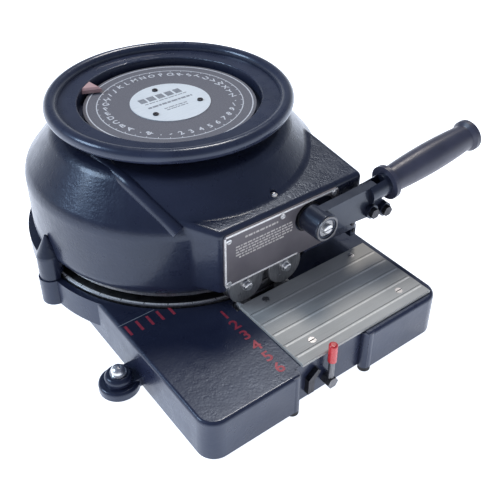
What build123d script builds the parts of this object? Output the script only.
"""Hand operated stencil cutting machine: a dial handwheel over a drum housing, a hand lever
that drives the punch, feed rollers and a slotted table on a cast base.

The machine is drawn about the spindle of the handwheel, with z = 0 on the bench, the operator's
side towards -Y and the hand lever towards +X. The last section moves everything so that the
origin is in the middle of the machine's footprint.
"""
import math
import os
from build123d import *

ON_TOP = (Align.CENTER, Align.CENTER, Align.MIN)
FINISHED = []

# ---- driving dimensions, in millimetres ----
DIAL_TOP = 219.0            # reading face of the dial above the bench
DIAL_R = 100.0
DIAL_T = 3.0
BADGE_R = 46.7
BADGE_SCREW_R = 34.5
POINTER_ANGLE = 128.0

WHEEL_R = 134.9             # centre line of the handwheel rim
RIM_TUBE_R = 8.05
RIM_Z = 227.9
WEB_TOP = 227.6
WELL_R = 105.8              # the well that the dial lies in
WELL_FLOOR = 210.5
WHEEL_T = 4.0

CHARACTERS = 40
PUNCH_R = 150.0             # pitch radius of punches and dies
PUNCH_W = 12.0
PUNCH_D = 14.0
PUNCH_BOTTOM = 66.5
PUNCH_TOP = 108.0
PUNCH_HEAD = 3.0
CARRIER_R = 163.0
CARRIER_BOTTOM = 66.0
INDEX_BOTTOM = 92.0
INDEX_TOP = 98.0
DIE_R = 171.0
DIE_BOTTOM = 52.0
DIE_TOP = 59.5

POST_R = 16.0
TUBE_R = 27.0
RUNNING_FIT = 0.05

BASE_HALF_W = 158.7
BASE_FRONT = -300.0
BASE_REAR = 60.0
BASE_TOP = 56.0
BASE_BOTTOM = 5.0
SKIRT_T = 7.0
DECK_BOTTOM = 38.0
ROUND_R = 180.0             # round rear of the base
ROUND_BOTTOM = 22.0
DIE_WELL_R = 172.5
DIE_WELL_FLOOR = 46.0
RECESS_HALF_W = 47.5
RECESS_WALL = -290.0
EAR_L = (-178.0, -161.0)
EAR_R = (178.0, -75.0)
REAR_LEGS = ((-110.0, 125.0), (110.0, 125.0))
FRONT_POSTS = ((-51.0, -293.5), (51.0, -293.5))

DRUM_R = 174.5
DRUM_WALL = 8.0
DRUM_BOTTOM = 68.0
SHOULDER_Z = 148.0
CONE_R = 135.0
HOUSING_TOP = 204.0
BOSS_R = 14.0
BOSS_AXIS_R = 177.0
BOSS_ANGLES = (183.0, -3.0, 62.0, 118.0)

NOSE_FRONT = -183.0
NOSE_LEFT = -60.0
NOSE_RIGHT = 138.0
NOSE_BOTTOM = 88.0
NOSE_EDGE_Z = 164.0         # top of the nose at its front face
NOSE_SLOPE = 8.0
NOSE_T = 8.0
NOSE_BLEND_R = 12.0
WALL_BACK = NOSE_FRONT + NOSE_T

PLATE_X = (-38.5, 148.1)
PLATE_Y = (-292.6, -184.7)
PLATE_T = 3.5
PLATE_SCREWS = ((120.0, -193.5), (120.0, -271.5), (-8.0, -271.5), (-8.0, -193.5))
GROOVE_PITCH = 18.7

LEG_SCREWS = ((128.0, NOSE_FRONT, 96.0), (134.0, NOSE_FRONT + 3.0, 82.0))
OIL_PLACE = (25.0, -162.0, 165.0)

LEVER_X = 57.3
LEVER_Z = 139.1
HANDLE_TILT = 6.0
HUB_R = 16.1
HUB_FRONT = -214.0
ARM_Y = -199.0
ARM_T = 12.0

LINK_Y = -150.0             # middle of the rocker, the crank and the ram
LINK_T = 12.0
ROCKER_X = 24.0
RAM_TOP = 133.0
RAM_BOTTOM = 115.6

ROLLER_X = 27.0
ROLLER_R = 23.0
ROLLER_Z = 82.7
ROLLER_FRONT = -182.6
ROLLER_BACK = -175.3
GEAR_MODULE = 2.0
GEAR_TEETH = 17
IDLER_TEETH = 10
ROLL_R = 11.0
ROLL_Z = 48.4

RELEASE_X = -4.0
RELEASE_Z = 19.0
RELEASE_Y = -298.5
RELEASE_THROW = 5.0


# ---- helpers ----
def facing_front(y):
    """Plane across the machine at y; an extrusion from it comes towards the operator."""
    return Plane.XZ.offset(-y)


def around(radius, degrees, z=0.0):
    """Point at a radius and an angle about the spindle."""
    turn = math.radians(degrees)
    return (radius * math.cos(turn), radius * math.sin(turn), z)


def finish(builder, name):
    """Label a finished piece and keep it for writing."""
    builder.part.label = name
    FINISHED.append(builder.part)


def disc_between(y_back, y_front, x, z, radius, hole=0.0):
    """Round piece or washer with its axis along Y, as a private part."""
    with BuildPart() as piece:
        with BuildSketch(facing_front(y_back)):
            with Locations((x, z)):
                Circle(radius)
                if hole:
                    Circle(hole, mode=Mode.SUBTRACT)
        extrude(amount=y_back - y_front)
    return piece.part


def upright(radius, z_low, z_high, hole=0.0):
    """Round piece or tube on the spindle axis, as a private part."""
    with BuildPart() as piece:
        with BuildSketch(Plane.XY.offset(z_low)):
            Circle(radius)
            if hole:
                Circle(hole, mode=Mode.SUBTRACT)
        extrude(amount=z_high - z_low)
    return piece.part


def screw_down(head_r, head_t, shank_r, shank_l):
    """Slotted round head screw, head upwards, with the underside of the head at z = 0."""
    with BuildPart() as screw:
        Cylinder(head_r, head_t, align=ON_TOP)
        fillet(screw.edges().group_by(Axis.Z)[-1], head_t * 0.45)
        with BuildSketch(Plane.XY.offset(head_t)):
            Rectangle(head_r * 2.2, head_r * 0.28)
        extrude(amount=-head_t * 0.35, mode=Mode.SUBTRACT)
        Cylinder(shank_r, shank_l, align=(Align.CENTER, Align.CENTER, Align.MAX))
    return screw.part


def screw_forward(head_r, head_t, shank_r, shank_l):
    """The same screw with its head towards the operator."""
    return screw_down(head_r, head_t, shank_r, shank_l).rotate(Axis.X, 90)


def spur_outline(teeth, module):
    """Corner points of a spur wheel with straight sided teeth and ample backlash."""
    pitch_r = teeth * module / 2
    step = 360.0 / teeth
    corners = []
    for tooth in range(teeth):
        middle = tooth * step
        for radius, half in ((-1.2, 0.30), (0.9, 0.12)):
            corners.append(around(pitch_r + radius * module, middle - half * step)[:2])
        for radius, half in ((0.9, 0.12), (-1.2, 0.30)):
            corners.append(around(pitch_r + radius * module, middle + half * step)[:2])
    return corners


def spur_wheel(teeth, module, x, z, y_back, y_front, first_tooth, bore):
    """Spur wheel with its axis along Y and its first tooth at the given angle."""
    with BuildPart() as wheel:
        with BuildSketch(facing_front(y_back)):
            with Locations(Location((x, z, 0), (0, 0, first_tooth))):
                Polygon(*spur_outline(teeth, module), align=None)
            with Locations((x, z)):
                Circle(bore, mode=Mode.SUBTRACT)
        extrude(amount=y_back - y_front)
    return wheel.part


def rounded_box(x, y, z, radius):
    """Box between pairs of limits, with its upright corners rounded, as a private part."""
    with BuildPart() as box:
        with BuildSketch(Plane.XY.offset(z[0])):
            with Locations(((x[0] + x[1]) / 2, (y[0] + y[1]) / 2)):
                RectangleRounded(x[1] - x[0], y[1] - y[0], radius)
        extrude(amount=z[1] - z[0])
    return box.part


def plain_box(x, y, z):
    """Box between pairs of limits, as a private part."""
    with BuildPart() as box:
        with Locations((x[0], y[0], z[0])):
            Box(x[1] - x[0], y[1] - y[0], z[1] - z[0], align=Align.MIN)
    return box.part


# ---- base ----
def base_outside():
    """Cast table with its round rear, side bosses, ears and rear legs."""
    with BuildPart() as outside:
        add(rounded_box((-BASE_HALF_W, BASE_HALF_W), (BASE_FRONT, BASE_REAR),
                        (BASE_BOTTOM, BASE_TOP), 20.0))
        fillet(outside.edges().group_by(Axis.Z)[-1], 4.0)
        add(upright(ROUND_R, ROUND_BOTTOM, BASE_TOP))
        with BuildSketch(Plane.XY.offset(ROUND_BOTTOM)):
            for angle in BOSS_ANGLES:
                with Locations(around(BOSS_AXIS_R, angle)[:2]):
                    Circle(BOSS_R + 1.5)
        extrude(amount=BASE_TOP - ROUND_BOTTOM)
    return outside.part


def base_ear(centre):
    """Ear beside the skirt: a round flange with a domed boss on it."""
    side = math.copysign(1.0, centre[0])
    with BuildPart() as ear:
        with Locations((centre[0], centre[1], BASE_BOTTOM)):
            Cylinder(22.0, 10.0, align=ON_TOP)
        fillet(ear.edges().group_by(Axis.Z)[-1], 3.5)
        with Locations((centre[0], centre[1], BASE_BOTTOM)):
            Cylinder(15.0, 20.0, align=ON_TOP)
        fillet(ear.edges().group_by(Axis.Z)[-1], 5.0)
        inner = side * (BASE_HALF_W - 3.0)
        x_limits = (min(inner, centre[0]), max(inner, centre[0]))
        add(plain_box(x_limits, (centre[1] - 14.0, centre[1] + 14.0), (BASE_BOTTOM, BASE_BOTTOM + 12.0)))
    return ear.part


with BuildPart() as base_casting:
    add(base_outside())
    # the underside is hollow, with a skirt all round
    add(rounded_box((-BASE_HALF_W + SKIRT_T, BASE_HALF_W - SKIRT_T),
                    (BASE_FRONT + SKIRT_T, BASE_REAR - SKIRT_T),
                    (BASE_BOTTOM, DECK_BOTTOM), 14.0), mode=Mode.SUBTRACT)
    with BuildSketch(Plane.XY.offset(ROUND_BOTTOM)):
        Circle(ROUND_R - SKIRT_T)
    extrude(amount=DECK_BOTTOM - ROUND_BOTTOM, mode=Mode.SUBTRACT)
    # the wall behind the front recess, and the recess itself
    add(plain_box((-RECESS_HALF_W - 8.0, RECESS_HALF_W + 8.0), (BASE_FRONT + 3.0, RECESS_WALL + SKIRT_T),
                  (BASE_BOTTOM, BASE_TOP)))
    add(plain_box((-RECESS_HALF_W, RECESS_HALF_W), (BASE_FRONT - 1.0, RECESS_WALL),
                  (BASE_BOTTOM - 1.0, BASE_TOP + 1.0)), mode=Mode.SUBTRACT)
    with Locations(*[(x, y, BASE_BOTTOM) for x, y in FRONT_POSTS]):
        Cylinder(7.0, BASE_TOP - BASE_BOTTOM - 1.0, align=ON_TOP)
    # centre boss, ribs, rear legs and ears
    with Locations((0, 0, 10.0)):
        Cylinder(34.0, DIE_WELL_FLOOR - 10.0, align=ON_TOP)
    for rib in (plain_box((-BASE_HALF_W + 3, BASE_HALF_W - 3), (-3, 3), (14.0, DECK_BOTTOM)),
                plain_box((-3, 3), (-160.0, 175.0), (ROUND_BOTTOM, DECK_BOTTOM))):
        add(rib)
    with Locations(*[(x, y, BASE_BOTTOM) for x, y in REAR_LEGS]):
        Cylinder(16.0, DECK_BOTTOM - BASE_BOTTOM, align=ON_TOP)
    add(base_ear(EAR_L))
    add(base_ear(EAR_R))
    # well for the die ring, bore for the post, slot for the lower rolls, bore for the release
    add(upright(DIE_WELL_R, DIE_WELL_FLOOR, BASE_TOP + 1.0), mode=Mode.SUBTRACT)
    add(upright(POST_R, 0.0, BASE_TOP), mode=Mode.SUBTRACT)
    add(plain_box((-43.0, 43.0), (-188.0, -171.0), (DECK_BOTTOM - 1, BASE_TOP + 1)), mode=Mode.SUBTRACT)
    add(disc_between(RECESS_WALL + SKIRT_T + 1, RECESS_WALL - 1, RELEASE_X, RELEASE_Z,
                     5.0 + RUNNING_FIT), mode=Mode.SUBTRACT)
    for angle in BOSS_ANGLES:
        with Locations(around(BOSS_AXIS_R, angle, ROUND_BOTTOM)):
            Cylinder(4.0, BASE_TOP - ROUND_BOTTOM, align=ON_TOP, mode=Mode.SUBTRACT)
    with Locations(*[(x, y, BASE_TOP - 5.0) for x, y in PLATE_SCREWS]):
        Cylinder(2.5, 6.0, align=ON_TOP, mode=Mode.SUBTRACT)
finish(base_casting, "base_casting")

FOOT_PLACES = [(FRONT_POSTS, 7.0), (REAR_LEGS, 14.0), ((EAR_L, EAR_R), 17.0)]
with BuildPart() as rubber_feet:
    for places, radius in FOOT_PLACES:
        with Locations(*[(x, y, 0.0) for x, y in places]):
            Cylinder(radius, BASE_BOTTOM, align=ON_TOP)
finish(rubber_feet, "rubber_feet")

with BuildPart() as ear_nuts:
    with Locations(*[(x, y, BASE_BOTTOM + 20.0) for x, y in (EAR_L, EAR_R)]):
        Cylinder(9.0, 1.6, align=ON_TOP)
        Cylinder(7.6, 9.0, align=ON_TOP)
    fillet(ear_nuts.edges().group_by(Axis.Z)[-1], 6.0)
finish(ear_nuts, "ear_nuts")

# ---- table ----
with BuildPart() as table_plate:
    add(plain_box(PLATE_X, PLATE_Y, (BASE_TOP, BASE_TOP + PLATE_T)))
    chamfer(table_plate.edges().group_by(Axis.Z)[-1], 0.6)
    for line in range(5):
        with BuildSketch(Plane.XY.offset(BASE_TOP + PLATE_T)):
            with Locations(((PLATE_X[0] + PLATE_X[1]) / 2, -204.5 - line * GROOVE_PITCH)):
                Rectangle(PLATE_X[1] - PLATE_X[0] + 2, 1.6)
        extrude(amount=-0.5, mode=Mode.SUBTRACT)
    with Locations(*[(x, y, BASE_TOP + PLATE_T) for x, y in PLATE_SCREWS]):
        CounterSinkHole(2.6, 4.6, PLATE_T, 90)
finish(table_plate, "table_plate")

with BuildPart() as countersunk_screw:
    with BuildSketch(Plane.XZ):
        with BuildLine():
            Polyline((0, -4.0), (2.5, -4.0), (2.5, 1.55), (4.25, 3.3), (0, 3.3), close=True)
        make_face()
    revolve(axis=Axis.Z)
    with BuildSketch(Plane.XY.offset(3.3)):
        Rectangle(10.0, 1.1)
    extrude(amount=-1.1, mode=Mode.SUBTRACT)
with BuildPart() as table_screws:
    with Locations(*[(x, y, BASE_TOP) for x, y in PLATE_SCREWS]):
        add(countersunk_screw.part)
finish(table_screws, "table_screws")


# ---- housing ----
def drum(radius, bottom, shoulder, cone_r, top, corner):
    """Drum with a conical shoulder, turned about the spindle."""
    with BuildPart() as turned:
        with BuildSketch(Plane.XZ):
            with BuildLine():
                FilletPolyline((0, bottom), (radius, bottom), (radius, shoulder + corner * 0.4),
                               (cone_r, top), (0, top), radius=corner, close=False)
                Line((0, top), (0, bottom))
            make_face()
        revolve(axis=Axis.Z)
    return turned.part


def nose(inset, bottom, corner):
    """Nose at the front of the drum, drawn in by an inset, with a sloping top."""
    front = NOSE_FRONT + inset
    left = NOSE_LEFT + inset
    right = NOSE_RIGHT - inset
    with BuildPart() as block:
        with BuildSketch(Plane.XY.offset(bottom)):
            with BuildLine():
                Polyline((left, front), (right, front), (right, -60.0), (left - 27.0, -60.0),
                         (left - 27.0, front + 42.0), close=True)
            make_face()
        extrude(amount=130.0)
        if corner:
            fillet(block.edges().filter_by(Axis.Z).group_by(Axis.Y)[0], corner)
        slope = Plane(origin=(0, front, NOSE_EDGE_Z - inset), x_dir=(1, 0, 0),
                      z_dir=(0, -math.sin(math.radians(NOSE_SLOPE)), math.cos(math.radians(NOSE_SLOPE))))
        split(bisect_by=slope, keep=Keep.BOTTOM)
        if corner:
            fillet(block.faces().sort_by(Axis.Z)[-1].edges(), corner)
    return block.part


def housing_outside():
    """Drum and nose, blended where their skins meet."""
    turned = drum(DRUM_R, DRUM_BOTTOM, SHOULDER_Z, CONE_R, HOUSING_TOP, 22.0)
    front = nose(0.0, NOSE_BOTTOM, 7.0)
    with BuildPart() as outside:
        add(turned)
        add(front)
        seam = []
        for edge in outside.edges().filter_by_position(Axis.Z, NOSE_BOTTOM, HOUSING_TOP, (False, False)):
            places = [Vertex(edge @ share) for share in (0.25, 0.5, 0.75)]
            if all(max(turned.distance_to(place), front.distance_to(place)) < 0.01 for place in places):
                seam.append(edge)
        fillet(seam, NOSE_BLEND_R)
    return outside.part


def side_boss():
    """Bullet shaped bolt boss on the drum wall."""
    with BuildPart() as boss:
        Cylinder(BOSS_R, 30.0, align=ON_TOP)
        with Locations((0, 0, 30.0)):
            Cone(BOSS_R, 1.5, 26.0, align=ON_TOP)
        fillet(boss.edges().filter_by(GeomType.CIRCLE).group_by(Axis.Z)[1], 8.0)
    return boss.part


with BuildPart() as housing:
    add(housing_outside())
    # the rear of the drum stands on the base, clear of the die ring
    with BuildSketch(Plane.XY.offset(BASE_TOP)):
        Circle(182.0)
        with Locations((0, -104.0)):
            Rectangle(400.0, 192.0, mode=Mode.SUBTRACT)
    extrude(amount=20.0)
    for angle in BOSS_ANGLES:
        with Locations(around(BOSS_AXIS_R, angle, BASE_TOP)):
            add(side_boss())
    # soft rib that runs from the left end of the nose up to the neck
    with BuildLine() as rib_line:
        FilletPolyline((-86.0, -147.0, 158.0), (-107.0, -90.0, 194.5), (-113.0, -28.0, 200.0),
                       radius=40.0)
    with BuildSketch(Plane(origin=rib_line.line @ 0, z_dir=rib_line.line % 0)):
        Circle(8.0)
    sweep(path=rib_line.line)
    # inside
    add(drum(DRUM_R - DRUM_WALL, BASE_TOP - 1, SHOULDER_Z - 6.0, CONE_R - 8.0, HOUSING_TOP - 8.0, 6.0),
        mode=Mode.SUBTRACT)
    add(upright(DIE_WELL_R, BASE_TOP - 1.0, 62.0), mode=Mode.SUBTRACT)
    add(nose(NOSE_T, NOSE_BOTTOM - 1, 0.0), mode=Mode.SUBTRACT)
    # mouth for the rollers and their bracket, below the front wall
    add(plain_box((-54.0, 54.0), (NOSE_FRONT - 1, -130.0), (60.0, 108.0)), mode=Mode.SUBTRACT)
    # neck bore, lever bore and bolt holes
    add(upright(32.0, 180.0, 220.0), mode=Mode.SUBTRACT)
    add(disc_between(-160.0, -190.0, LEVER_X, LEVER_Z, 14.0), mode=Mode.SUBTRACT)
    for angle in BOSS_ANGLES:
        with Locations(around(BOSS_AXIS_R, angle, BASE_TOP)):
            Cylinder(4.0, 22.0, align=ON_TOP, mode=Mode.SUBTRACT)
    # leg at the right end of the nose, then its screw holes and the seat of the oil fitting
    add(plain_box((NOSE_RIGHT - NOSE_T, NOSE_RIGHT), (NOSE_FRONT + 3, NOSE_FRONT + 45),
                  (74.0, NOSE_BOTTOM + 1)))
    for x, y, z in LEG_SCREWS:
        add(disc_between(y + 3.0, y - 1.0, x, z, 1.3), mode=Mode.SUBTRACT)
    with Locations(OIL_PLACE):
        Cylinder(4.2, 12.0, align=ON_TOP, mode=Mode.SUBTRACT)
finish(housing, "housing")

with BuildPart() as housing_bolts:
    for angle in BOSS_ANGLES:
        with Locations(around(BOSS_AXIS_R, angle, ROUND_BOTTOM)):
            Cylinder(4.0, 52.0, align=ON_TOP)
        with BuildSketch(Plane.XY.offset(ROUND_BOTTOM)):
            with Locations(around(BOSS_AXIS_R, angle)[:2]):
                RegularPolygon(7.5, 6)
        extrude(amount=-5.3)
finish(housing_bolts, "housing_bolts")

with BuildPart() as neck_bush:
    add(upright(32.0, 194.0, HOUSING_TOP + 1.0, TUBE_R + RUNNING_FIT))
finish(neck_bush, "neck_bush")

with BuildPart() as oil_fitting:
    with Locations(OIL_PLACE):
        Cylinder(4.2, 3.0, align=ON_TOP)
        Cylinder(2.8, 5.4, align=ON_TOP)
    fillet(oil_fitting.edges().group_by(Axis.Z)[-1], 2.2)
finish(oil_fitting, "oil_fitting")


# ---- nameplate ----
NAMEPLATE_X = (-56.7, 99.8)
NAMEPLATE_Z = (92.8, 160.6)
NAMEPLATE_T = 2.0
NAMEPLATE_SCREWS = ((-51.1, 153.8), (-52.0, 98.5), (19.0, 155.2), (91.9, 155.5))
with BuildPart() as nameplate:
    with BuildSketch(facing_front(NOSE_FRONT)):
        with Locations((sum(NAMEPLATE_X) / 2, sum(NAMEPLATE_Z) / 2)):
            RectangleRounded(NAMEPLATE_X[1] - NAMEPLATE_X[0], NAMEPLATE_Z[1] - NAMEPLATE_Z[0], 5.0)
        with Locations((LEVER_X + 8.0, LEVER_Z)):
            SlotOverall(56.0, 36.0, mode=Mode.SUBTRACT)
        with Locations(*NAMEPLATE_SCREWS):
            Circle(1.4, mode=Mode.SUBTRACT)
    extrude(amount=NAMEPLATE_T)
finish(nameplate, "nameplate")

with BuildPart() as nameplate_screws:
    with Locations(*[(x, NOSE_FRONT - NAMEPLATE_T, z) for x, z in NAMEPLATE_SCREWS]):
        add(screw_forward(3.2, 1.8, 1.4, NAMEPLATE_T))
finish(nameplate_screws, "nameplate_screws")

with BuildPart() as leg_screws:
    with Locations(*LEG_SCREWS):
        add(screw_forward(2.6, 1.6, 1.3, 3.0))
finish(leg_screws, "leg_screws")


def badge_screw_holes(z):
    """Three holes for the badge screws, cut upwards from a height."""
    with PolarLocations(BADGE_SCREW_R, 3, start_angle=90.0):
        with Locations((0, 0, z)):
            Cylinder(1.6, 6.0, align=ON_TOP, mode=Mode.SUBTRACT)


# ---- spindle: post, dial and badge ----
with BuildPart() as centre_post:
    add(upright(POST_R, 8.0, 216.0))
    add(upright(44.0, 212.2, DIAL_TOP - DIAL_T))
    badge_screw_holes(DIAL_TOP - 4.0)
finish(centre_post, "centre_post")

with BuildPart() as post_nut:
    with BuildSketch(Plane.XY.offset(2.0)):
        RegularPolygon(18.0, 6)
    extrude(amount=6.0)
finish(post_nut, "post_nut")

with BuildPart() as dial_plate:
    add(upright(DIAL_R, DIAL_TOP - DIAL_T, DIAL_TOP))
    chamfer(dial_plate.edges().group_by(Axis.Z)[-1], 0.5)
    badge_screw_holes(DIAL_TOP - 4.0)
finish(dial_plate, "dial_plate")

with BuildPart() as dial_badge:
    add(upright(BADGE_R, DIAL_TOP, DIAL_TOP + 0.8))
    badge_screw_holes(DIAL_TOP - 1.0)
finish(dial_badge, "dial_badge")

with BuildPart() as badge_screws:
    with PolarLocations(BADGE_SCREW_R, 3, start_angle=90.0):
        with Locations((0, 0, DIAL_TOP + 0.8)):
            add(screw_down(3.4, 1.6, 1.6, 3.8))
finish(badge_screws, "badge_screws")

with BuildPart() as thrust_washer:
    add(upright(30.0, DIE_WELL_FLOOR, DIE_WELL_FLOOR + 2.0, POST_R + 0.5))
finish(thrust_washer, "thrust_washer")

# ---- wheel and carrier: everything that turns with the handwheel ----
with BuildPart() as handwheel:
    with BuildSketch(Plane.XZ):
        with BuildLine():
            Polyline((POST_R + 1.0, WELL_FLOOR - WHEEL_T), (WELL_R + WHEEL_T, WELL_FLOOR - WHEEL_T),
                     (WELL_R + WHEEL_T, WEB_TOP - WHEEL_T), (WHEEL_R, WEB_TOP - WHEEL_T),
                     (WHEEL_R, WEB_TOP), (WELL_R, WEB_TOP), (WELL_R, WELL_FLOOR),
                     (POST_R + 1.0, WELL_FLOOR), close=True)
        make_face()
        with Locations((WHEEL_R, RIM_Z)):
            Circle(RIM_TUBE_R)
    revolve(axis=Axis.Z)
    fillet(handwheel.edges().filter_by(GeomType.CIRCLE).filter_by(
        lambda edge: abs(edge.radius - WELL_R) < 0.01 and edge.center().Z > WEB_TOP - 1), 1.6)
    with PolarLocations(23.5, 4):
        with Locations((0, 0, WELL_FLOOR)):
            CounterBoreHole(2.5, 4.2, 2.8, WHEEL_T)
finish(handwheel, "handwheel")

with BuildPart() as pointer:
    with BuildSketch(Plane.XY.offset(DIAL_TOP + 1.6)):
        with BuildLine():
            Polyline((85.0, 0), (109.0, -14.0), (109.0, 14.0), close=True)
        make_face()
    extrude(amount=6.4)
    chamfer(pointer.edges().group_by(Axis.Z)[-1], 2.2)
    add(upright(130.0, 200.0, 240.0, WELL_R - 0.02), mode=Mode.SUBTRACT)
pointer.part = pointer.part.rotate(Axis.Z, POINTER_ANGLE)
finish(pointer, "pointer")

with BuildPart() as carrier_tube:
    add(upright(TUBE_R, DIE_WELL_FLOOR + 2.05, WELL_FLOOR - WHEEL_T, POST_R + RUNNING_FIT))
    with PolarLocations(23.5, 4):
        with Locations((0, 0, WELL_FLOOR - WHEEL_T - 12.0)):
            Cylinder(2.5, 12.0, align=ON_TOP, mode=Mode.SUBTRACT)
finish(carrier_tube, "carrier_tube")

with BuildPart() as hub_screws:
    with PolarLocations(23.5, 4):
        with Locations((0, 0, WELL_FLOOR - 2.8)):
            Cylinder(4.1, 2.6, align=ON_TOP)
            Cylinder(2.5, 13.0, align=(Align.CENTER, Align.CENTER, Align.MAX))
finish(hub_screws, "hub_screws")

with BuildPart() as punch_carrier:
    add(upright(CARRIER_R, CARRIER_BOTTOM, CARRIER_BOTTOM + 6.0, TUBE_R))
    add(upright(CARRIER_R, CARRIER_BOTTOM + 6.0, INDEX_BOTTOM, 138.0))
    with PolarLocations(PUNCH_R, CHARACTERS, start_angle=-90.0):
        with Locations((0, 0, CARRIER_BOTTOM)):
            Box(PUNCH_D + 0.1, PUNCH_W + 0.1, 30.0, align=ON_TOP, mode=Mode.SUBTRACT)
finish(punch_carrier, "punch_carrier")

with BuildPart() as index_ring:
    add(upright(CARRIER_R, INDEX_BOTTOM, INDEX_TOP, 140.5))
    with PolarLocations(PUNCH_R, CHARACTERS, start_angle=-90.0):
        with Locations((0, 0, INDEX_BOTTOM)):
            Box(PUNCH_D + 0.1, PUNCH_W + 0.1, 6.0, align=ON_TOP, mode=Mode.SUBTRACT)
    with PolarLocations(CARRIER_R, CHARACTERS, start_angle=-90.0):
        with Locations((0, 0, INDEX_BOTTOM)):
            Box(8.4, 8.6, 6.0, align=ON_TOP, mode=Mode.SUBTRACT)
finish(index_ring, "index_ring")


def punch():
    """Letter punch at the front of the carrier: square shank under a round head."""
    with BuildPart() as one:
        with Locations((PUNCH_R, 0, PUNCH_BOTTOM)):
            Box(PUNCH_D, PUNCH_W, PUNCH_TOP - PUNCH_HEAD - PUNCH_BOTTOM, align=ON_TOP)
        with Locations((PUNCH_R, 0, PUNCH_TOP - PUNCH_HEAD)):
            Cylinder(10.5, PUNCH_HEAD, align=ON_TOP)
        chamfer(one.edges().group_by(Axis.Z)[-1], 0.8)
    return one.part


one_punch = punch()
with BuildPart() as letter_punches:
    with PolarLocations(0, CHARACTERS - 1, start_angle=-90.0 + 360.0 / CHARACTERS,
                        angular_range=360.0 - 720.0 / CHARACTERS, endpoint=True):
        add(one_punch)
finish(letter_punches, "letter_punches")

with BuildPart() as station_punch:
    with PolarLocations(0, 1, start_angle=-90.0):
        add(one_punch)
finish(station_punch, "station_punch")

with BuildPart() as die_carrier:
    add(upright(165.0, DIE_WELL_FLOOR + 2.4, DIE_BOTTOM, TUBE_R))
finish(die_carrier, "die_carrier")

with BuildPart() as die_ring:
    add(upright(DIE_R, DIE_BOTTOM, DIE_TOP, 138.0))
    chamfer(die_ring.edges().group_by(Axis.Z)[-1].sort_by(SortBy.RADIUS)[-1], 1.0)
    with PolarLocations(PUNCH_R, CHARACTERS, start_angle=-90.0):
        with Locations((0, 0, DIE_BOTTOM)):
            Box(PUNCH_D + 0.3, PUNCH_W + 0.3, 10.0, align=ON_TOP, mode=Mode.SUBTRACT)
finish(die_ring, "die_ring")

# ---- press: lever, rocker, ram and lock bolt ----
BRACKET_BACK = WALL_BACK + 3.0
FRAME_BACK = BRACKET_BACK + 7.0
with BuildPart() as press_frame:
    with BuildSketch(facing_front(FRAME_BACK)):
        with Locations((7.0, 131.5)):
            RectangleRounded(58.0, 45.0, 5.0)
    extrude(amount=7.0)
    add(plain_box((-16.0, 16.0), (FRAME_BACK - 1.0, -136.0), (110.0, 120.0)))
    with Locations((0, LINK_Y, 110.0)):
        Cylinder(8.0 + RUNNING_FIT, 10.0, align=ON_TOP, mode=Mode.SUBTRACT)
    # headed stud that the rocker turns on
    add(disc_between(-138.0, FRAME_BACK - 1.0, ROCKER_X, LEVER_Z, 4.0))
    add(disc_between(-138.0, -143.0, ROCKER_X, LEVER_Z, 6.5))
finish(press_frame, "press_frame")

with BuildPart() as lever_bush:
    add(disc_between(-165.0, NOSE_FRONT, LEVER_X, LEVER_Z, 14.0, 10.0 + RUNNING_FIT))
    add(disc_between(NOSE_FRONT, NOSE_FRONT - 3.6, LEVER_X, LEVER_Z, 17.6, 10.0 + RUNNING_FIT))
finish(lever_bush, "lever_bush")

LINK_BACK = LINK_Y + LINK_T / 2
LINK_FRONT = LINK_Y - LINK_T / 2
with BuildPart() as lever_shaft:
    add(disc_between(-165.0, HUB_FRONT + 1.0, LEVER_X, LEVER_Z, 10.0))
    add(disc_between(LINK_BACK - 1.0, -165.0, LEVER_X, LEVER_Z, 7.0))
    add(disc_between(HUB_FRONT + 13.0, HUB_FRONT, LEVER_X, LEVER_Z, 3.0), mode=Mode.SUBTRACT)
finish(lever_shaft, "lever_shaft")

FINGER = (-12.9, -3.5)
with BuildPart() as lever_crank:
    with BuildSketch(facing_front(LINK_BACK)):
        with Locations((LEVER_X, LEVER_Z)):
            Circle(9.5)
            with Locations(FINGER):
                Circle(3.0)
        with BuildLine():
            Polyline((LEVER_X, LEVER_Z - 9.4), (LEVER_X, LEVER_Z),
                     (LEVER_X + FINGER[0], LEVER_Z + FINGER[1] + 2.9),
                     (LEVER_X + FINGER[0], LEVER_Z + FINGER[1] - 2.9), close=True)
        make_face()
        with Locations((LEVER_X, LEVER_Z)):
            Circle(7.0, mode=Mode.SUBTRACT)
    extrude(amount=LINK_T)
finish(lever_crank, "lever_crank")

with BuildPart() as rocker:
    with BuildSketch(facing_front(LINK_BACK)):
        with Locations((ROCKER_X, LEVER_Z)):
            Circle(9.0)
        with Locations((0.0, RAM_TOP + 4.3)):
            Circle(4.0)
        with BuildLine():
            Polyline((0.0, RAM_TOP + 0.9), (ROCKER_X, LEVER_Z - 5.0), (ROCKER_X, LEVER_Z),
                     (ROCKER_X + 22.0, LEVER_Z), (ROCKER_X + 22.0, LEVER_Z + 6.0),
                     (ROCKER_X, LEVER_Z + 9.0), (0.0, RAM_TOP + 8.2), close=True)
        make_face()
        with Locations((ROCKER_X, LEVER_Z)):
            Circle(4.0 + RUNNING_FIT, mode=Mode.SUBTRACT)
    extrude(amount=LINK_T)
finish(rocker, "rocker")

with BuildPart() as ram:
    with Locations((0, LINK_Y, RAM_BOTTOM)):
        Cylinder(8.0, RAM_TOP - RAM_BOTTOM, align=ON_TOP)
    with Locations((0, LINK_Y, RAM_TOP - 4.6)):
        Cylinder(11.0, 4.6, align=ON_TOP)
finish(ram, "ram")

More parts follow.
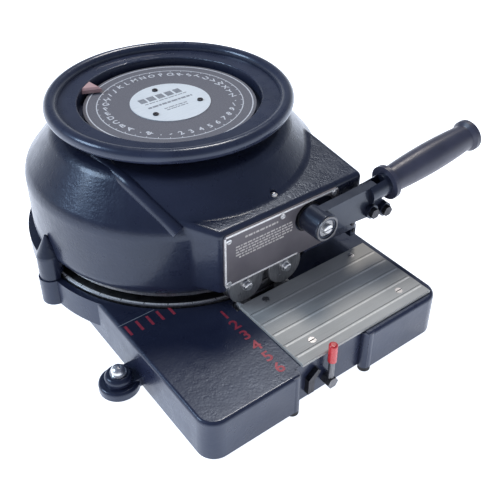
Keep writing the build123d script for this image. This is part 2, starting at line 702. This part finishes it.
BOLT_ANGLE = 297.0
BOLT_BOTTOM = INDEX_BOTTOM + 0.1
BOLT_T = INDEX_TOP - INDEX_BOTTOM - 0.2
with BuildPart() as lock_bolt:
    with BuildSketch(Plane.XY.offset(BOLT_BOTTOM)):
        with BuildLine():
            Polyline((164.5, -3.0), (168.5, -4.0), (186.0, -4.0), (186.0, 4.0), (168.5, 4.0),
                     (164.5, 3.0), close=True)
        make_face()
    extrude(amount=BOLT_T)
lock_bolt.part = lock_bolt.part.rotate(Axis.Z, BOLT_ANGLE)
finish(lock_bolt, "lock_bolt")

with BuildPart() as bolt_guide:
    with Locations((172.0, 0, NOSE_BOTTOM)):
        Box(30.0, 18.0, 17.0, align=(Align.MIN, Align.CENTER, Align.MIN))
    with Locations((171.0, 0, BOLT_BOTTOM - RUNNING_FIT)):
        Box(20.0, 8.0 + 2 * RUNNING_FIT, BOLT_T + 2 * RUNNING_FIT,
            align=(Align.MIN, Align.CENTER, Align.MIN), mode=Mode.SUBTRACT)
bolt_guide.part = split(bolt_guide.part.rotate(Axis.Z, BOLT_ANGLE),
                        bisect_by=facing_front(WALL_BACK), keep=Keep.BOTTOM)
finish(bolt_guide, "bolt_guide")

with BuildPart() as lever_hub:
    add(disc_between(HUB_FRONT + 28.4 - 1.4, HUB_FRONT, LEVER_X, LEVER_Z, HUB_R, 10.0))
    fillet(lever_hub.edges().filter_by(GeomType.CIRCLE).group_by(Axis.Y)[0].sort_by(SortBy.RADIUS)[-1], 1.2)
finish(lever_hub, "lever_hub")

with BuildPart() as hub_washer:
    add(disc_between(HUB_FRONT, HUB_FRONT - 1.2, LEVER_X, LEVER_Z, 14.6, 12.6))
finish(hub_washer, "hub_washer")

with BuildPart() as hub_screw:
    with Locations((LEVER_X, HUB_FRONT + 1.0, LEVER_Z)):
        add(screw_forward(6.0, 4.2, 3.0, 12.0))
finish(hub_screw, "hub_screw")

HANDLE_DIR = (math.cos(math.radians(HANDLE_TILT)), math.sin(math.radians(HANDLE_TILT)))


def along_handle(distance, drop=0.0):
    """Point in the lever's plane, at a distance from the hub and below the handle's axis."""
    return (LEVER_X + distance * HANDLE_DIR[0] + drop * HANDLE_DIR[1],
            LEVER_Z + distance * HANDLE_DIR[1] - drop * HANDLE_DIR[0])


def handle_plane(distance):
    """Plane across the handle at a distance from the hub."""
    x, z = along_handle(distance)
    return Plane(origin=(x, ARM_Y, z), x_dir=(0, 1, 0), z_dir=(HANDLE_DIR[0], 0, HANDLE_DIR[1]))


GRIP_START = 101.0
GRIP_END = 246.0
GRIP_BORE = 6.0
CLAMP_BOLTS = (along_handle(72.0, 20.0), along_handle(92.0, 27.0))
with BuildPart() as lever_arm:
    with BuildSketch(facing_front(ARM_Y + ARM_T / 2)):
        with BuildLine():
            Polyline(along_handle(2.0, -15.5), along_handle(84.0, -10.0), along_handle(90.0, -4.0),
                     along_handle(90.0, 12.0), along_handle(99.0, 22.0), along_handle(99.0, 32.0),
                     along_handle(90.0, 35.0), along_handle(66.0, 28.0), along_handle(2.0, 15.5),
                     close=True)
        make_face()
        with Locations((LEVER_X, LEVER_Z)):
            Circle(HUB_R, mode=Mode.SUBTRACT)
    extrude(amount=ARM_T)
finish(lever_arm, "lever_arm")

with BuildPart() as handle_clamp:
    with BuildSketch(handle_plane(72.0)):
        Circle(13.0)
    extrude(amount=24.0)
    with BuildSketch(facing_front(ARM_Y - ARM_T / 2)):
        for x, z in CLAMP_BOLTS:
            with Locations((x, z)):
                Circle(8.5)
    extrude(amount=5.0)
    with BuildSketch(handle_plane(72.0)):
        Rectangle(ARM_T, 40.0)
    extrude(amount=24.0, mode=Mode.SUBTRACT)
    with BuildSketch(handle_plane(96.0)):
        Circle(13.0)
    extrude(amount=5.0)
    with BuildSketch(handle_plane(GRIP_START)):
        Circle(GRIP_BORE)
    extrude(amount=GRIP_END - GRIP_START + 1.0)
finish(handle_clamp, "handle_clamp")

with BuildPart() as clamp_bolts:
    for x, z in CLAMP_BOLTS:
        with BuildSketch(facing_front(ARM_Y - ARM_T / 2 - 5.0)):
            with Locations((x, z)):
                RegularPolygon(6.4, 6)
        extrude(amount=5.0)
finish(clamp_bolts, "clamp_bolts")

GRIP_LENGTH = GRIP_END - GRIP_START
with BuildPart() as handle_grip:
    with BuildSketch(Plane.XZ):
        with BuildLine():
            Line((GRIP_BORE, 0), (20.5, 0))
            Line((20.5, 0), (20.5, 5.5))
            Line((20.5, 5.5), (15.5, 9.0))
            Spline((15.5, 9.0), (18.3, GRIP_LENGTH * 0.45), (15.8, GRIP_LENGTH - 12.0))
            Line((15.8, GRIP_LENGTH - 12.0), (19.5, GRIP_LENGTH - 8.0))
            Line((19.5, GRIP_LENGTH - 8.0), (19.5, GRIP_LENGTH - 2.0))
            Line((19.5, GRIP_LENGTH - 2.0), (17.0, GRIP_LENGTH))
            Line((17.0, GRIP_LENGTH), (GRIP_BORE, GRIP_LENGTH))
            Line((GRIP_BORE, GRIP_LENGTH), (GRIP_BORE, 0))
        make_face()
    revolve(axis=Axis.Z)
handle_grip.part = handle_plane(GRIP_START).location * handle_grip.part
finish(handle_grip, "handle_grip")

SPRING_R = 15.6
with BuildPart() as lever_spring:
    with BuildLine() as spring_line:
        Helix(pitch=4.0, height=12.0, radius=SPRING_R)
    with BuildSketch(Plane(origin=spring_line.line @ 0, z_dir=spring_line.line % 0)):
        Circle(1.1)
    sweep(path=spring_line.line)
lever_spring.part = Plane(origin=(LEVER_X, -160.5, LEVER_Z), z_dir=(0, -1, 0)).location * lever_spring.part
finish(lever_spring, "lever_spring")

# ---- feed: rollers, gears and their bracket ----
with BuildPart() as roller_bracket:
    with BuildSketch(facing_front(BRACKET_BACK)):
        with Locations((0, 94.0)):
            RectangleRounded(100.0, 48.0, 6.0)
        for x in (-ROLLER_X, 0, ROLLER_X):
            with Locations((x, ROLLER_Z)):
                Circle(4.0 + RUNNING_FIT, mode=Mode.SUBTRACT)
    extrude(amount=BRACKET_BACK - WALL_BACK)
finish(roller_bracket, "roller_bracket")

GEAR_FRONT = BRACKET_BACK + 0.3
GEAR_BACK = GEAR_FRONT + 4.4
for side, place in (("left", -ROLLER_X), ("right", ROLLER_X)):
    with BuildPart() as feed_roller:
        add(disc_between(ROLLER_BACK, ROLLER_FRONT, place, ROLLER_Z, ROLLER_R))
        fillet(feed_roller.edges().filter_by(GeomType.CIRCLE).group_by(Axis.Y)[0], 1.0)
        add(disc_between(GEAR_BACK, ROLLER_BACK, place, ROLLER_Z, 4.0))
        add(disc_between(ROLLER_FRONT + 1.0, ROLLER_FRONT - 1.0, place - 9.0, ROLLER_Z - 9.0, 2.4),
            mode=Mode.SUBTRACT)
    finish(feed_roller, f"feed_roller_{side}")
    with BuildPart() as roller_screw:
        with Locations((place, ROLLER_FRONT, ROLLER_Z)):
            Cylinder(6.6, 1.6, rotation=(90, 0, 0), align=ON_TOP)
        with Locations((place, ROLLER_FRONT - 1.6, ROLLER_Z)):
            add(screw_forward(5.2, 4.6, 1.5, 1.0))
    finish(roller_screw, f"roller_screw_{side}")
    with BuildPart() as feed_gear:
        add(spur_wheel(GEAR_TEETH, GEAR_MODULE, place, ROLLER_Z, GEAR_BACK, GEAR_FRONT,
                       0.0 if place < 0 else 180.0, 4.0))
    finish(feed_gear, f"feed_gear_{side}")

with BuildPart() as idler_gear:
    add(spur_wheel(IDLER_TEETH, GEAR_MODULE, 0.0, ROLLER_Z, GEAR_BACK, GEAR_FRONT,
                   180.0 / IDLER_TEETH, 3.9))
    add(disc_between(GEAR_BACK, WALL_BACK - 1.0, 0.0, ROLLER_Z, 4.0))
finish(idler_gear, "idler_gear")

# ---- lower rolls, their cradle and the release ----
EAR_FRONT = (-187.0, -184.0)
EAR_BACK = (-175.2, -172.2)
with BuildPart() as cradle:
    add(plain_box((-36.0, 36.0), (EAR_FRONT[0], EAR_BACK[1]), (28.0, 33.0)))
    for ear in (EAR_FRONT, EAR_BACK):
        add(plain_box((-36.0, 36.0), ear, (32.0, 53.0)))
    add(plain_box((RELEASE_X + 1.0, RELEASE_X + 9.0), (-186.0, -174.0), (RELEASE_Z + 3.3, 29.0)))
    for x in (-ROLLER_X, ROLLER_X):
        add(disc_between(-170.0, -190.0, x, ROLL_Z, 3.0 + RUNNING_FIT), mode=Mode.SUBTRACT)
finish(cradle, "cradle")

for side, place in (("left", -ROLLER_X), ("right", ROLLER_X)):
    with BuildPart() as lower_roll:
        add(disc_between(-175.5, -183.7, place, ROLL_Z, ROLL_R))
        add(disc_between(EAR_BACK[1], EAR_FRONT[0], place, ROLL_Z, 3.0))
    finish(lower_roll, f"lower_roll_{side}")

with BuildPart() as release_shaft:
    add(disc_between(-190.0, -303.0, RELEASE_X, RELEASE_Z, 5.0))
    add(disc_between(-189.0, -192.0, RELEASE_X, RELEASE_Z, 10.0))
    add(disc_between(-171.0, -190.0, RELEASE_X + RELEASE_THROW, RELEASE_Z, 3.0))
    add(disc_between(-168.5, -171.5, RELEASE_X, RELEASE_Z, 10.0))
    add(disc_between(-161.0, -169.0, RELEASE_X, RELEASE_Z, 5.0))
    with BuildSketch(facing_front(-292.0)):
        with Locations((RELEASE_X, RELEASE_Z)):
            RegularPolygon(7.0, 6)
    extrude(amount=11.0)
finish(release_shaft, "release_shaft")

with BuildPart() as shaft_hanger:
    with BuildSketch(facing_front(-162.0)):
        with Locations((RELEASE_X, (12.0 + DECK_BOTTOM) / 2)):
            Rectangle(20.0, DECK_BOTTOM - 12.0)
        with Locations((RELEASE_X, RELEASE_Z)):
            Circle(5.0 + RUNNING_FIT, mode=Mode.SUBTRACT)
    extrude(amount=6.0)
finish(shaft_hanger, "shaft_hanger")

RELEASE_TIP = 49.0
RELEASE_END = 72.5
with BuildPart() as release_lever:
    with Locations((RELEASE_X, RELEASE_Y, RELEASE_Z + 6.1)):
        Cylinder(3.4, RELEASE_TIP - RELEASE_Z - 6.1, align=ON_TOP)
    with Locations((RELEASE_X, RELEASE_Y, RELEASE_TIP)):
        Cylinder(2.4, 12.0, align=ON_TOP)
finish(release_lever, "release_lever")

with BuildPart() as release_tip:
    with Locations((RELEASE_X, RELEASE_Y, RELEASE_TIP)):
        Cylinder(4.9, RELEASE_END - RELEASE_TIP, align=ON_TOP)
    fillet(release_tip.edges().group_by(Axis.Z)[-1], 2.4)
    with Locations((RELEASE_X, RELEASE_Y, RELEASE_TIP)):
        Cylinder(2.4, 12.0, align=ON_TOP, mode=Mode.SUBTRACT)
finish(release_tip, "release_tip")

with BuildPart() as release_stop:
    with BuildSketch(facing_front(RECESS_WALL)):
        with BuildLine():
            Polyline((-32.0, 14.0), (-24.0, 14.0), (-24.0, 30.0), (-16.0, 40.0), (-20.0, 44.0),
                     (-32.0, 34.0), close=True)
        make_face()
    extrude(amount=6.0)
finish(release_stop, "release_stop")

# ---- move everything to the middle of the footprint and write it ----
limits = Compound(children=[piece.moved(Location()) for piece in FINISHED]).bounding_box()
TO_FRAME = Location((-limits.center().X, -limits.center().Y, -limits.min.Z))
os.makedirs("parts", exist_ok=True)
for piece in FINISHED:
    export_step(piece.moved(TO_FRAME), f"parts/{piece.label}.step")
print("spindle at", [round(value, 4) for value in TO_FRAME.position], "size", limits.size)
